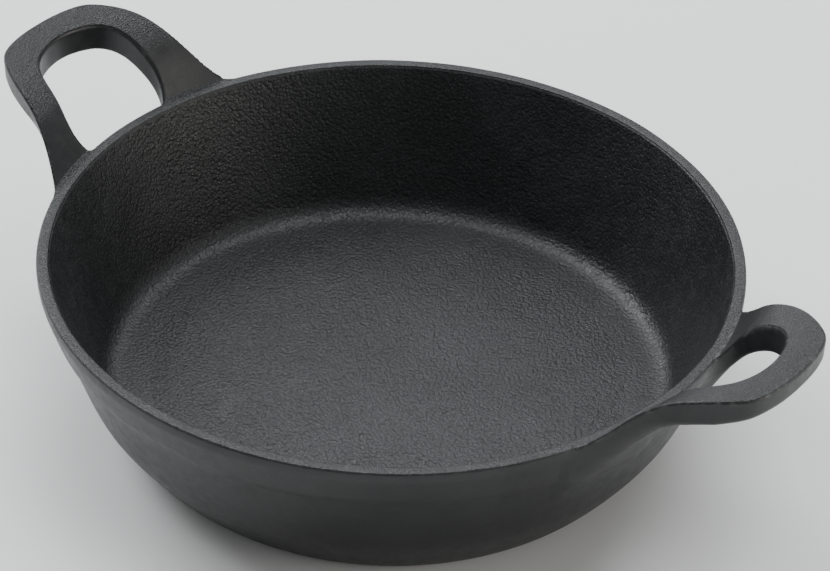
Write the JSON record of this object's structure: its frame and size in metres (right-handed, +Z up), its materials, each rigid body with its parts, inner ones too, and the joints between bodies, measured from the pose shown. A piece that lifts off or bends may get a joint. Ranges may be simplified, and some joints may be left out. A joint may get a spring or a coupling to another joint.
{
  "type": "round cast iron pan",
  "caption": "Round cast iron serving pan with sloping walls, a rounded lip and an upswept loop handle on each side",
  "frame": {"origin": "centre of the flat underside", "axes": "+Z up through the middle of the pan, +X through the right-hand loop handle, +Y square to the handles"},
  "size_m": [0.2406, 0.18, 0.0681],
  "materials": {
    "casting": "seasoned, satin, finely pebbled as cast"
  },
  "bodies": {
    "root": {"floor": "casting", "lower_wall": "casting", "side_wall": "casting", "rim_band": "casting", "handle_left": "casting", "handle_right": "casting"}
  },
  "joints": []
}
